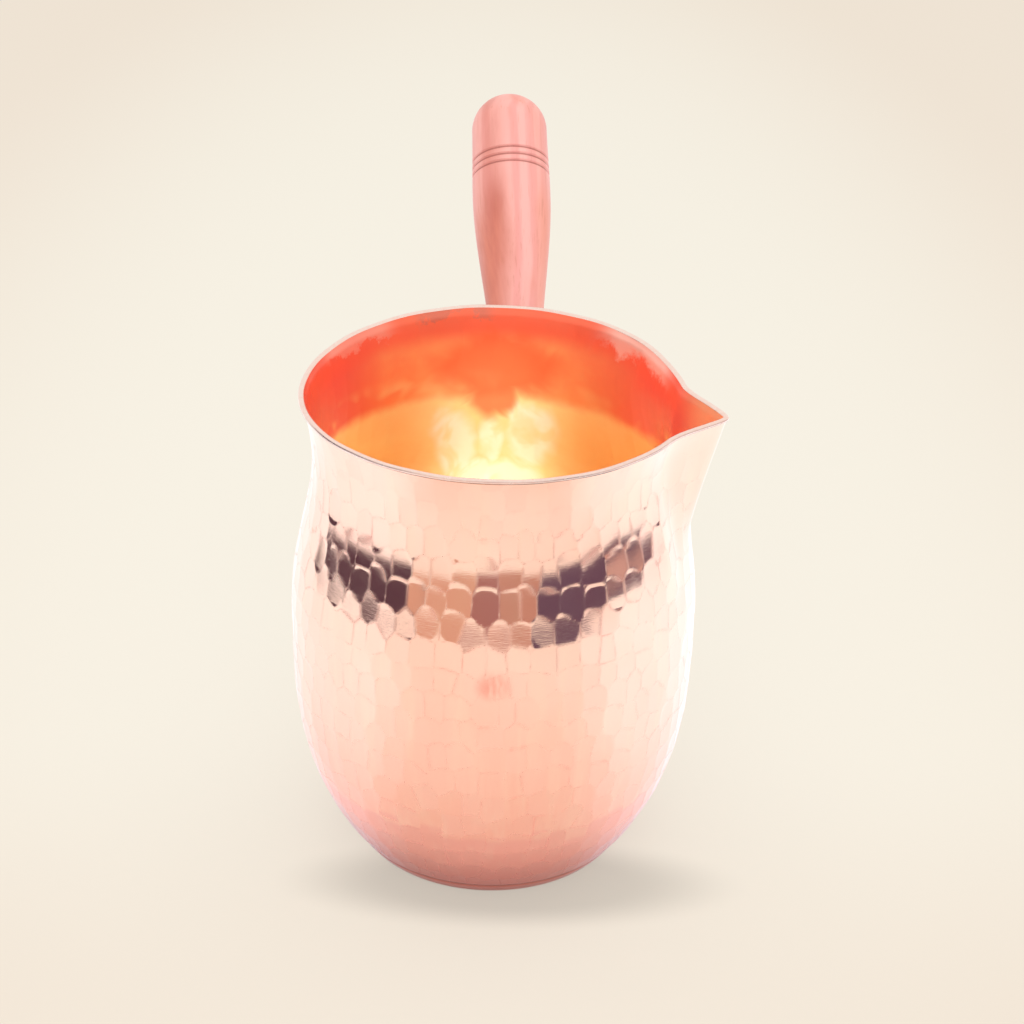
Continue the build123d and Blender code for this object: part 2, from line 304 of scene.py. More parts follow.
# Camera, at the photograph's viewing angle
camera_place = Vector((0.08940, -0.60797, 0.41936))
camera_pitch = 27.524
camera_turn = 7.95
camera_roll = 1.416
camera_lens = 90.67

# Table and studio, in a frame turned with the camera
studio_turn = 8.7
table_centre_colour = (0.898, 0.855, 0.755)
table_edge_colour = (0.850, 0.762, 0.655)
table_glow = 0.7
pale_place = (0.0, 0.25)
pale_size = (0.19, 0.55)
front_darkening = 0.7
shade_place = (0.006, -0.031)
shade_size = (0.059, 0.020)
shade_edge = (0.55, 1.15)
shade_depth = 0.24
front_reflected_colour = (0.860, 0.830, 0.800)
side_reflected_colour = (0.960, 0.960, 0.960)
left_glow_colour = (0.10, 0.15, 0.22)
right_glow_colour = (0.20, 0.32, 0.46)
room_brightness = 1.0
room_colour = (1.0, 0.985, 0.96)
backdrop_colour = (0.865, 0.785, 0.675)

# Lamps: places in the studio's frame, power in watts; spots have a narrow beam
overhead_place = (0.0, -0.03, 0.75)
overhead_size = (0.5, 0.4)
overhead_power = 0.9
front_place = (-0.05, -0.75, 0.60)
front_size = (0.6, 0.4)
front_power = 1.3
mouth_spot_place = (0.0, 0.02, 0.80)
mouth_spot_beam = {"radius": 0.02, "cone": 4.4, "power": 64.0, "softness": 0.5}
wall_spot_place = (0.0, -0.25, 0.75)
wall_spot_aim = (0.0, 0.044, 0.080)
wall_spot_beam = {"radius": 0.006, "cone": 4.1, "power": 74.0, "softness": 0.9}

# Corners of the table's front edge, and the low and high card from each one to the next
card_step = 0.026
card_height = 0.26
card_colours = {
    "dark": (0.105, 0.065, 0.100),
    "mauve": (0.150, 0.105, 0.175),
    "rosy": (0.660, 0.480, 0.460),
    "tan": (0.740, 0.490, 0.390),
    "brown": (0.420, 0.225, 0.225),
    "umber": (0.580, 0.360, 0.300),
}
table_cards = (
    ((-0.32, 0.130), "dark", "dark"),
    ((-0.405, 0.024), "dark", "dark"),
    ((-0.455, -0.14), "dark", "dark"),
    ((-0.46, -0.47), "tan", "tan"),
    ((-0.42, -0.64), "tan", "tan"),
    ((-0.157, -0.66), "brown", "brown"),
    ((0.042, -0.66), "umber", "umber"),
    ((0.26, -0.62), "mauve", "mauve"),
    ((0.335, -0.43), "mauve", "mauve"),
    ((0.50, -0.34), "mauve", "rosy"),
    ((0.54, -0.09), "mauve", "rosy"),
    ((0.56, 0.035), "mauve", "rosy"),
    ((0.51, 0.13), "mauve", "rosy"),
)
table_back = ((0.45, 0.40), (0.45, 1.3), (-0.45, 1.3), (-0.45, 0.40))


def make_camera():
    """Camera of the scene, with its lens and place fitted to the photograph."""
    data = bpy.data.cameras.new("studio_camera")
    data.lens = camera_lens
    data.sensor_width = 36.0
    data.clip_start = 0.01
    camera = bpy.data.objects.new("studio_camera", data)
    bpy.context.scene.collection.objects.link(camera)
    turn = Matrix.Rotation(math.radians(camera_turn), 4, "Z")
    tilt = Matrix.Rotation(math.radians(90.0 - camera_pitch), 4, "X")
    roll = Matrix.Rotation(math.radians(camera_roll), 4, "Z")
    camera.matrix_world = Matrix.Translation(camera_place) @ turn @ tilt @ roll
    bpy.context.scene.camera = camera


make_camera()


class Value:
    """A shader socket that takes part in plain arithmetic."""

    def __init__(self, finish, socket):
        self.finish = finish
        self.socket = socket

    def __getitem__(self, name):
        return Value(self.finish, self.socket.node.outputs[name])

    def maths(self, operation, *others):
        inputs = dict(enumerate((self, *others)))
        return self.finish.node("ShaderNodeMath", {"operation": operation}, inputs)

    def __add__(self, other):
        return self.maths("ADD", other)

    def __sub__(self, other):
        return self.maths("SUBTRACT", other)

    def __rsub__(self, other):
        return (self * -1.0) + other

    def __mul__(self, other):
        return self.maths("MULTIPLY", other)

    def __truediv__(self, other):
        return self.maths("DIVIDE", other)

    def __pow__(self, other):
        return self.maths("POWER", other)

    __radd__ = __add__

    def between(self, low, high):
        """0 below low, 1 above high, with level ends."""
        settings = {"interpolation_type": "SMOOTHSTEP"}
        inputs = {"Value": self, "From Min": low, "From Max": high}
        return self.finish.node("ShaderNodeMapRange", settings, inputs)

    def below(self, low, high):
        """1 below low, 0 above high, with level ends."""
        return 1.0 - self.between(low, high)

    def near(self, centre, width):
        """1 at centre, falling to 0 a width away on both sides."""
        return (self - centre).maths("ABSOLUTE").below(0.0, width)

    def strayed(self, noise, reach):
        """Moved by noise, up to half the reach either way."""
        return self + (noise - 0.5) * reach


class Finish:
    """A material or world under construction: nodes by type, settings and socket values."""

    def __init__(self, name, owner=None):
        self.material = owner or bpy.data.materials.new(name)
        self.material.use_nodes = True
        self.tree = self.material.node_tree
        self.tree.nodes.clear()

    def node(self, kind, settings=None, inputs=None, output=0):
        made = self.tree.nodes.new(kind)
        for key, value in (settings or {}).items():
            setattr(made, key, value)
        for key, value in (inputs or {}).items():
            if isinstance(value, Value):
                self.tree.links.new(value.socket, made.inputs[key])
            else:
                made.inputs[key].default_value = value
        return Value(self, made.outputs[output]) if made.outputs else None

    def place(self):
        return self.node("ShaderNodeTexCoord", output="Object")

    def parts(self, vector):
        """The vector's X, Y and Z, taken by name."""
        return self.node("ShaderNodeSeparateXYZ", None, {0: vector})

    def blend(self, share, first, second):
        """Colour mix; first where share is 0."""
        first = first if isinstance(first, Value) else (*first, 1.0)
        second = second if isinstance(second, Value) else (*second, 1.0)
        return self.node("ShaderNodeMix", {"data_type": "RGBA"}, {0: share, 6: first, 7: second}, 2)

    def layers(self, colour, *layers):
        """A colour under layers laid on in turn: each one's share, strength and colour."""
        for share, strength, paint in layers:
            colour = self.blend(share * strength, colour, paint)
        return colour

    def stretch(self, vector, scale, rotation=(0.0, 0.0, 0.0)):
        inputs = {"Vector": vector, "Scale": scale, "Rotation": rotation}
        return self.node("ShaderNodeMapping", None, inputs)

    def turned(self, vector, about_x=0.0, about_z=0.0):
        """The vector turned by angles about X or Z."""
        rotation = (math.radians(about_x), 0.0, math.radians(about_z))
        return self.stretch(vector, (1.0, 1.0, 1.0), rotation)

    def noise(self, vector, scale, detail=3.0, roughness=0.5, distortion=0.0):
        inputs = {
            "Vector": vector,
            "Scale": scale,
            "Detail": detail,
            "Roughness": roughness,
            "Distortion": distortion,
        }
        return self.node("ShaderNodeTexNoise", None, inputs)

    def bump(self, height, distance, strength=1.0):
        inputs = {"Height": height, "Distance": distance, "Strength": strength}
        return self.node("ShaderNodeBump", None, inputs)

    def surface(self, inputs):
        shader = self.node("ShaderNodeBsdfPrincipled", None, inputs)
        self.node("ShaderNodeOutputMaterial", None, {"Surface": shader})
        return self.material


def from_middle(across, along, middle, half_size):
    """Distance from an ellipse's middle as a share of its half size: 1 on the ellipse."""
    across = (across - middle[0]) / half_size[0]
    along = (along - middle[1]) / half_size[1]
    return (across * across + along * along) ** 0.5


def soft_spots(across, height, back, spots):
    """1 inside any of the spots, with soft edges, and 0 off the back wall."""
    together = None
    for place_across, place_up, half_width, half_height in spots:
        middle = (place_across * mm, place_up * mm)
        distance = from_middle(across, height, middle, (half_width * mm, half_height * mm))
        share = distance.below(*spot_edge) * back
        together = together.maths("MAXIMUM", share) if together else share
    return together


def outside_copper():
    """Polished, hammered copper: pale, warmer and duller towards the base, partly an oxide tint and
    partly painted shade, with painted shade low on the wall and painted light towards the spout.
    """
    finish = Finish("polished_hammered_copper")
    place = finish.place()
    parts = finish.parts(place)
    height = parts["Z"]
    lit_towards_spout = parts["X"].between(*painted_light_towards_spout)
    marks = finish.node("ShaderNodeAttribute", {"attribute_name": "hammer_marks"})
    marks = finish.node("ShaderNodeSeparateColor", None, {0: marks})
    edge, tone = marks["Red"], marks["Green"]
    cloud = finish.noise(place, 22.0, 4.0, 0.55)
    streaks = finish.noise(finish.stretch(place, (1.0, 1.0, 0.22)), 210.0, 4.0, 0.6)
    columns = finish.noise(finish.stretch(place, (1.0, 1.0, 0.10)), 190.0, 3.0, 0.6)
    brush = finish.noise(finish.stretch(place, (0.5, 0.5, 6.0)), 900.0, 2.0)
    inputs = {0: place, 1: scuff_place}
    away = finish.node("ShaderNodeVectorMath", {"operation": "DISTANCE"}, inputs, "Value")
    scuff = away.strayed(cloud, 12.0 * mm).below(*scuff_reach) * streaks.between(0.38, 0.55)
    # Warmer towards the base: partly oxide, partly painted shade reflected from the table; the lit
    # side towards the spout gets less of it, which is painted light
    low = height.strayed(cloud, 20.0 * mm).strayed(tone, 12.0 * mm).below(*warm_and_shade_heights)
    warm_and_shade = finish.blend(cloud.between(0.35, 0.7), *warm_and_shade_pinks)
    colour = finish.layers(
        finish.blend(cloud.between(0.35, 0.7), *pale_pinks),
        (low, 1.0 - lit_towards_spout * 0.40, warm_and_shade),
        (columns.between(0.45, 0.70), 0.30, column_colour),
        (tone, 0.25, tone_colour),
        (edge * streaks.between(0.40, 0.62), 0.30, edge_colour),
        # Painted shade: a ring and the foot low on the wall, the crease, and the line under the bead
        (height.strayed(tone, 7.0 * mm).below(*shade_ring_heights), 0.42, shade_ring_colour),
        (scuff, 0.75, scuff_colour),
        (height.below(*foot_shade_heights), 0.85 - lit_towards_spout * 0.30, foot_shade_colour),
        (height.near(crease_height, crease_shade_width), 0.70, crease_shade_colour),
        (height.near(bead_shadow_height, bead_shadow_width), 0.75, bead_shadow_colour),
    )
    return finish.surface(
        {
            "Base Color": colour,
            "Metallic": 1.0,
            "Roughness": 0.055 + brush * 0.06 + low * 0.05 + edge * 0.28,
            "Normal": finish.bump(brush, 0.0045 * mm),
        }
    )


def inside_copper():
    """Raw copper with painted light and shade: lit and golden below, shaded and deep orange above,
    with painted highlight spots, painted dark reflections and paler and darker patches under the rim.
    """
    finish = Finish("raw_copper_inside")
    place = finish.place()
    parts = finish.parts(place)
    height = parts["Z"]
    cloud = finish.noise(place, 34.0, 5.0, 0.6, 0.4)
    fine = finish.noise(place, 420.0, 3.0, 0.6)
    waver = finish.noise(place, 45.0, 2.0, 0.5, 0.8)
    curl = finish.noise(place, 75.0, 2.0, 0.5, 1.5)
    streak = finish.noise(place, 70.0, 2.0, 0.5, 1.6)

    # Painted light and shade: the lit golden lower part, the shaded deep orange upper part, darker at
    # the sides and under the lip, and the wavering line between them
    right = parts["X"].between(*redder_right)
    left = parts["X"].below(*redder_left)
    drift = height.near(drift_height, drift_half_height) * waver.between(0.48, 0.62)
    golden = finish.layers(
        finish.blend(cloud.between(0.3, 0.72), *lit_golden_colours),
        (right, 0.60, low_right_shade_colour),
    )
    deep = finish.layers(
        finish.blend(cloud.between(0.3, 0.72), *shaded_deep_colours),
        (right + left, 0.90, side_shade_colour),
        (height.between(*lip_heights), 0.85, lip_shade_colour),
        (parts["X"].between(*spout_channel), 0.80, spout_colour),
        (drift, 0.80, drift_colour),
    )
    line = height.strayed(finish.noise(place, 60.0, 3.0), 8.0 * mm)
    colour = finish.blend(line.between(*lit_to_shaded_heights), golden, deep)

    # Painted highlight and dark reflection spots on the back wall, placed as the studio sees them
    across = finish.parts(finish.turned(place, about_z=-studio_turn))["X"]
    across = across.strayed(waver, 9.0 * mm)
    above = height.strayed(curl, 10.0 * mm)
    back = parts["Y"].between(*back_wall)
    # Painted highlight, with a curl in it
    cream = finish.layers(
        finish.blend(streak.between(0.30, 0.55), *highlight_cream_colours),
        (soft_spots(across, above, back, highlight_curl_spots), 0.55, highlight_curl_colour),
    )
    colour = finish.layers(
        colour,
        (height.below(*floor_heights), 0.50, floor_colour),
        (soft_spots(across, above, back, painted_highlight_spots), 1.0, cream),
        (soft_spots(across, above, back, dark_reflection_spots), 0.80, dark_reflection_colour),
    )

    # Patches under the rim
    around = parts["Y"].maths("ARCTAN2", parts["X"])
    top = height.strayed(finish.noise(place, 130.0, 5.0, 0.7), 16.0 * mm)
    for angle, half_width, softness, begins, full, strength, patch_colour in rim_patches:
        beside = around.near(math.radians(angle), math.radians(half_width)).between(0.0, softness)
        patch = beside * top.between(begins * mm, full * mm)
        colour = finish.layers(colour, (patch, strength, patch_colour))
    return finish.surface(
        {
            "Base Color": colour,
            "Metallic": 0.32,
            "Roughness": 0.28 + fine * 0.10,
            "Normal": finish.bump(cloud + fine * 0.05, 0.35 * mm, 0.5),
        }
    )


def rim_copper():
    """Scraped and burnished rim bead, paler than the wall, with a few dark nicks and a painted shadow
    line at its foot.
    """
    finish = Finish("burnished_rim")
    place = finish.place()
    height = finish.parts(place)["Z"]
    scrape = finish.noise(place, 700.0, 4.0, 0.7)
    nicks = finish.noise(place, 95.0, 6.0, 0.75)
    colour = finish.layers(
        finish.blend(scrape.between(0.3, 0.7), *rim_colours),
        (nicks.between(0.74, 0.80), 0.80, nick_colour),
        # Painted shadow line at the foot of the bead
        (height.below(*rim_foot_shadow_heights), 0.85, rim_foot_shadow_colour),
    )
    return finish.surface(
        {
            "Base Color": colour,
            "Metallic": 1.0,
            "Roughness": 0.22 + scrape * 0.14,
            "Normal": finish.bump(scrape, 0.01 * mm, 0.4),
        }
    )


def plain_copper():
    """Smooth copper of the plate, socket, rivets and boss, with tarnish in patches."""
    finish = Finish("plain_copper")
    place = finish.place()
    cloud = finish.noise(place, 60.0, 5.0, 0.6)
    fine = finish.noise(place, 900.0, 3.0, 0.6)
    colour = finish.layers(
        finish.blend(cloud.between(0.35, 0.7), *plain_copper_colours),
        (cloud.between(0.66, 0.78), 0.50, tarnish_colour),
    )
    return finish.surface(
        {
            "Base Color": colour,
            "Metallic": 1.0,
            "Roughness": 0.20 + fine * 0.16,
            "Normal": finish.bump(fine, 0.015 * mm, 0.4),
        }
    )


def drawn_metal(name, colours, roughness, roughness_range):
    """Drawn metal with a fine grain, for the pins and the stud."""
    finish = Finish(name)
    fine = finish.noise(finish.place(), 1500.0, 3.0)
    return finish.surface(
        {
            "Base Color": finish.blend(fine.between(0.3, 0.7), *colours),
            "Metallic": 1.0,
            "Roughness": roughness + fine * roughness_range,
        }
    )


def turned_wood():
    """Oiled pinkish hardwood with grain along the handle, burnt grooves, and painted shade down both
    its sides.
    """
    finish = Finish("turned_wood")
    anchor = handle_matrix().inverted().translation
    turn = finish.turned(finish.place(), about_z=90.0 - handle_azimuth)
    tilt = finish.turned(turn, about_x=90.0 - handle_rise)
    along = finish.parts(tilt)
    station = along["Z"] + anchor.z
    rings = finish.node(
        "ShaderNodeTexWave",
        {"wave_type": "BANDS", "bands_direction": "X", "wave_profile": "SIN"},
        {
            "Vector": finish.stretch(tilt, (1.0, 1.0, 0.10)),
            "Scale": 55.0,
            "Distortion": 7.0,
            "Detail": 3.0,
            "Detail Scale": 1.4,
            "Detail Roughness": 0.6,
        },
    )
    pores = finish.noise(finish.stretch(tilt, (1.0, 1.0, 0.045)), 1500.0, 3.0, 0.6)
    blotch = finish.noise(finish.stretch(tilt, (1.0, 1.0, 0.3)), 70.0, 4.0, 0.55)
    figure = finish.noise(finish.stretch(tilt, (1.0, 1.0, 0.22)), 95.0, 4.0, 0.6, 0.6)
    side = (along["X"] + anchor.x).strayed(blotch, 10.0 * mm)
    fainter = 1.0 - station.between(*shade_streaks_fade) * 0.65
    heart_and_shade = side.near(shade_streak_side, heart_and_shade_width) * figure.between(0.32, 0.56)
    grooves = [station.near(groove, char_half_width) for groove in groove_stations]
    burnt = sum(grooves[1:], grooves[0])
    char = (burnt * (0.75 + blotch * 0.4)).between(0.15, 0.9)
    colour = finish.layers(
        finish.blend(rings.between(0.1, 0.9), *wood_colours),
        # Painted shade down both sides, with the dark figure in the darker side partly painted shade
        # too
        (side.near(shade_streak_side, shade_streak_width) * fainter, 0.90, shade_streak_colour),
        (side.near(faint_shade_side, faint_shade_width) * fainter, 0.80, faint_shade_colour),
        (heart_and_shade * fainter, 0.80, heart_and_shade_colour),
        (blotch.between(0.48, 0.75), 0.60, blotch_colour),
        (pores.between(0.56, 0.72), 0.30, pore_colour),
        (char, 0.70, char_colour),
    )
    return finish.surface(
        {
            "Base Color": colour,
            "Roughness": 0.42 + pores * 0.16 + char * 0.2,
            "Coat Weight": 0.10,
            "Coat Roughness": 0.35,
            "Normal": finish.bump(pores, 0.04 * mm, 0.35),
        }
    )


def smooth(t):
    """0 below 0, 1 above 1, with level ends."""
    t = np.clip(t, 0.0, 1.0)
    return t * t * (3.0 - 2.0 * t)


def rise(value, start, run):
    """0 up to start, 1 from a run beyond it, with level ends."""
    return smooth((value - start) / run)


def wall_radius(z):
    """Outer radius of the round jug at height z."""
    down = np.clip((belly_height - z) / belly_height, 0.0, 1.0)
    belly = belly_radius - (belly_radius - base_radius) * down**belly_fullness
    up = np.clip((z - belly_height) / (neck_height - belly_height), 0.0, 1.0) ** shoulder_fullness
    shoulder = neck_radius + (belly_radius - neck_radius) * (1.0 + np.cos(math.pi * up)) / 2.0
    above = (z - neck_height) / (jug_height - neck_height)
    flare = neck_radius + (rim_radius - neck_radius) * above**2
    return np.where(z <= belly_height, belly, np.where(z <= neck_height, shoulder, flare))


def ridge_radius(z):
    """Radius of the spout's ridge line at height z."""
    return rim_radius + spout_reach - (jug_height - z) * math.tan(math.radians(spout_lean))


def find_spout_root():
    """Height where the spout's ridge line leaves the round wall."""
    low, high = belly_height, neck_height
    for _ in range(root_halvings):
        middle = (low + high) / 2.0
        if ridge_radius(middle) > wall_radius(middle):
            high = middle
        else:
            low = middle
    return high


spout_root = find_spout_root()


def lifted(turn, z):
    """Height whose plain wall radius holds at z, where the spout has drawn the neck up."""
    away = np.abs(turn)
    beside = smooth((lift_far_end - away) / lift_far_run) * rise(away, *lift_beside_spout)
    lift = neck_lift * beside * rise(z, *lift_above)
    return z - lift * smooth((jug_height - z) / lift_below_rim)


def skin_radius(turn, z):
    """Outer radius at an angle from the spout and a height, spout included."""
    ahead = ridge_radius(z) - wall_radius(z)
    fade = smooth((z - spout_root + spout_root_fade) / spout_root_fade)
    stand_out = (ahead + np.hypot(ahead, spout_root_blend)) / 2.0 * fade
    up = rise(z, spout_root, jug_height - spout_root)
    half_angle = spout_root_half_angle + (spout_half_angle - spout_root_half_angle) * up
    away = np.hypot(turn, spout_tip_softness) - spout_tip_softness
    flank = np.maximum(0.0, 1.0 - away / half_angle) ** spout_flank_power
    drawn = np.exp(-(((np.abs(turn) - draw_in_angle) / draw_in_width) ** 2))
    drawn = drawn * smooth(np.abs(turn) / half_angle)
    drawn = drawn * np.where(turn < 0.0, draw_in_front, draw_in_back)
    return wall_radius(lifted(turn, z)) + stand_out * flank - stand_out / spout_reach * drawn


def skin_stretch(turn, z):
    """How much longer a radial step is than a step square to the wall, and to its level section."""
    step = 0.2
    radius = skin_radius(turn, z)
    change = skin_radius(turn + step, z) - skin_radius(turn - step, z)
    sweep = change / math.radians(2.0 * step) / radius
    step_up = 0.2 * mm
    lean = (skin_radius(turn, z + step_up) - skin_radius(turn, z - step_up)) / (2.0 * step_up)
    return np.sqrt(1.0 + sweep**2 + lean**2), np.sqrt(1.0 + sweep**2)


class WallLength:
    """Distance along the round wall's profile, upwards from the base."""

    def __init__(self):
        self.z = np.linspace(0.0, jug_height, profile_samples)
        radius = wall_radius(self.z)
        steps = np.hypot(np.diff(self.z), np.diff(radius))
        self.length = np.concatenate([[0.0], np.cumsum(steps)])
        lean = np.gradient(radius, self.z)
        self.bend = -np.gradient(lean, self.z) / (1.0 + lean**2) ** 1.5

    def at(self, z):
        return np.interp(z, self.z, self.length)

    def height(self, length):
        return np.interp(length, self.length, self.z)

    def bend_at(self, length):
        return np.interp(length, self.length, self.bend)


wall_length = WallLength()


class HammerMarks:
    """Overlapping flat marks in rows round the wall, each row laid over the one above."""

    def __init__(self, seed):
        chance = np.random.default_rng(seed)
        self.rows = int(wall_length.length[-1] / mark_row_pitch) + spare_rows
        shape = (self.rows, marks_round)
        limit, upright_limit = mark_jitter_limit, upright_jitter_limit
        self.shift_u = chance.normal(0.0, mark_jitter, shape).clip(-limit, limit)
        self.shift_v = chance.normal(0.0, mark_jitter * upright_jitter, shape)
        self.shift_v = self.shift_v.clip(-upright_limit, upright_limit)
        self.row_shift = chance.uniform(0.0, 1.0, self.rows)
        self.tilt_u = chance.normal(0.0, mark_tilt, shape)
        self.tilt_v = chance.normal(0.0, mark_tilt * upright_jitter, shape)
        self.depth = chance.normal(0.0, mark_depth, shape)
        self.tone = chance.uniform(0.0, 1.0, shape)

    def at(self, turn, z):
        """Offset from the plain wall, nearness to a mark's edge, and the mark's tone."""
        radius = wall_radius(z)
        pitch = radius * 2.0 * math.pi / marks_round
        u = turn / 360.0 * marks_round
        v = wall_length.at(z) / mark_row_pitch + rows_below_base
        row_below = np.floor(v).astype(int)
        layers, tones = [], []
        for row_step in (-1, 0, 1, 2):
            row = np.clip(row_below + row_step, 0, self.rows - 1)
            offset = self.row_shift[row]
            column_left = np.floor(u - offset).astype(int)
            bend = wall_length.bend_at((row - rows_below_base) * mark_row_pitch).clip(0.0)
            for column_step in (-1, 0, 1, 2):
                column = column_left + column_step
                pick = column % marks_round
                across = (u - (column + offset + self.shift_u[row, pick])) * pitch
                above = (v - (row + self.shift_v[row, pick])) * mark_row_pitch
                flat = (across**2 / radius + above**2 * bend) / 2.0
                side = np.abs(across / (mark_half_width * pitch))
                end = np.abs(above / (mark_half_height * mark_row_pitch))
                hollow = mark_hollow * (side**2 + end**2)
                share = (side**mark_squareness + end**mark_squareness) ** (1.0 / mark_squareness)
                beyond = (share - 1.0).clip(0.0) * mark_row_pitch / 2.0
                tilt = self.tilt_u[row, pick] * across
                tilt = tilt + (self.tilt_v[row, pick] - mark_shingle) * above
                depth = self.depth[row, pick]
                layers.append(flat + hollow + mark_edge_slope * beyond + tilt + depth)
                tones.append(self.tone[row, pick])
        layers, tones = np.array(layers), np.array(tones)
        order = np.argsort(layers, axis=0)
        lowest = np.take_along_axis(layers, order[:1], axis=0)[0]
        second = np.take_along_axis(layers, order[1:2], axis=0)[0]
        tone = np.take_along_axis(tones, order[:1], axis=0)[0]
        weight = np.exp(-(layers - lowest) / ridge_softness)
        offset = lowest - ridge_softness * np.log(weight.sum(axis=0)) - mark_top
        return offset, np.exp(-(second - lowest) / mark_edge_width), tone


def column_turns(count):
    """Angles from the spout once round, closer together at the spout's ridge."""
    fine = np.linspace(-180.0, 180.0, turn_samples)
    crowd = 1.0 + ridge_crowding * np.exp(-((fine / ridge_crowding_width) ** 2))
    run = np.concatenate([[0.0], np.cumsum((crowd[1:] + crowd[:-1]) / 2.0)])
    return np.interp(np.arange(count) / count * run[-1], run, fine)


def rings_to_mesh(name, rings):
    """Object from rings of points, each an array (count, 3), closed at both ends."""
    count = len(rings[0])
    points = np.concatenate(rings).tolist()
    here = np.arange(count)
    ahead = (here + 1) % count
    faces = []
    for k in range(len(rings) - 1):
        low, high = k * count, (k + 1) * count
        quads = np.stack([low + here, low + ahead, high + ahead, high + here], axis=1)
        faces += quads.tolist()
    for ring_index, flip in ((0, True), (len(rings) - 1, False)):
        centre = len(points)
        points.append(np.asarray(rings[ring_index]).mean(axis=0).tolist())
        start = ring_index * count
        for k in range(count):
            edge = (start + k, start + (k + 1) % count)
            faces.append([edge[1], edge[0], centre] if flip else [edge[0], edge[1], centre])
    mesh = bpy.data.meshes.new(name)
    mesh.from_pydata(points, [], faces)
    mesh.polygons.foreach_set("use_smooth", [True] * len(mesh.polygons))
    mesh.update()
    made = bpy.data.objects.new(name, mesh)
    bpy.context.scene.collection.objects.link(made)
    return made


def jug_ring(turn, radius, z):
    """One ring of the jug, with the lift of the back of the rim."""
    angle = np.radians(turn + spout_azimuth)
    behind = np.cos(np.radians(turn - rim_lift_turn)).clip(0.0) ** rim_lift_power
    height = z + rim_lift * behind * rise(z, neck_height, jug_height - neck_height)
    return np.stack([radius * np.cos(angle), radius * np.sin(angle), height], axis=1)


def base_rings(turn, offset, corner, floor_z):
    """Rings of a flat floor and the rounded corner up to the wall, from the centre out."""
    step_up = 1e-4
    lean = math.atan2(1.0, float((wall_radius(step_up) - wall_radius(0.0)) / step_up))
    flat = base_radius - offset / math.sin(lean) - corner * math.tan(lean / 2.0)
    rings = []
    for radius in np.linspace(floor_centre, 1.0, floor_rings) * flat:
        rings.append(jug_ring(turn, np.full(turn.shape, radius), floor_z))
    for angle in np.linspace(0.0, lean, corner_rings)[1:]:
        radius = flat + corner * math.sin(angle)
        z = floor_z + corner * (1.0 - math.cos(angle))
        rings.append(jug_ring(turn, np.full(turn.shape, radius), z))
    return rings


def rim_bead(turn):
    """Rings of the bead, over the rim from the outside to the inside."""
    top = np.full(turn.shape, jug_height)
    _, sweep = skin_stretch(turn, top - bead_sweep_depth)
    rim = skin_radius(turn, top)
    waver = 0.0
    for wave_height, waves, angle in bead_waves:
        waver = waver + wave_height * (np.sin(np.radians(turn * waves + angle)) - 1.0)
    rings = []
    for out, down in bead_outside:
        z = jug_height - down * bead_height + (waver if down < 1.0 else 0.0)
        rings.append(jug_ring(turn, rim + out * bead_overhang * sweep, z))
    for inward, down in bead_inside:
        z = jug_height - down * bead_height + waver
        rings.append(jug_ring(turn, rim - inward * wall_thickness * sweep, z))
    return rings


def spout_ridge(turn):
    """1 along the spout's ridge, 0 away from it."""
    return np.exp(-((turn / spout_ridge_width) ** 2))


def outer_fade(turn, z):
    """How strong the marks outside are: less towards the rim and along the spout's ridge."""
    fade = rise(z, *foot_fade) * (1.0 - rim_fade_share * rise(z, *rim_fade))
    return fade * (1.0 - spout_ridge_share * spout_ridge(turn) * rise(z, spout_root, spout_ridge_run))


def outer_step(offset, fade, z):
    """Step from the plain outer wall to the hammered one, with the crease at its foot."""
    crease = crease_depth * np.exp(-(((z - crease_height) / crease_width) ** 2))
    return np.minimum(offset, 0.0) * fade - crease


def inner_fade(turn, z):
    """How strong the marks inside are: none near the floor, less along the spout's ridge."""
    return rise(z, *inner_foot_fade) * (1.0 - inner_ridge_share * spout_ridge(turn))


def inner_step(offset, fade, z):
    """Step from the plain outer wall to the inner one, with shallower marks."""
    return -(wall_thickness + np.minimum(-offset * inner_mark_share * fade, inner_dent_limit))


def hammered_rings(turn, lengths, seed, fade_at, step_at):
    """Rings at lengths along the wall's profile, and the edges and tones of the marks there."""
    marks = HammerMarks(seed)
    rings, dressing = [], []
    for length in lengths:
        z = np.full(turn.shape, wall_length.height(length))
        steepness, _ = skin_stretch(turn, z)
        fade = fade_at(turn, z)
        offset, edge, tone = marks.at(turn, z)
        radius = skin_radius(turn, z) + step_at(offset, fade, z) * steepness
        rings.append(jug_ring(turn, radius, z[0]))
        dressing.append(np.stack([edge * fade, tone], axis=1))
    return rings, dressing


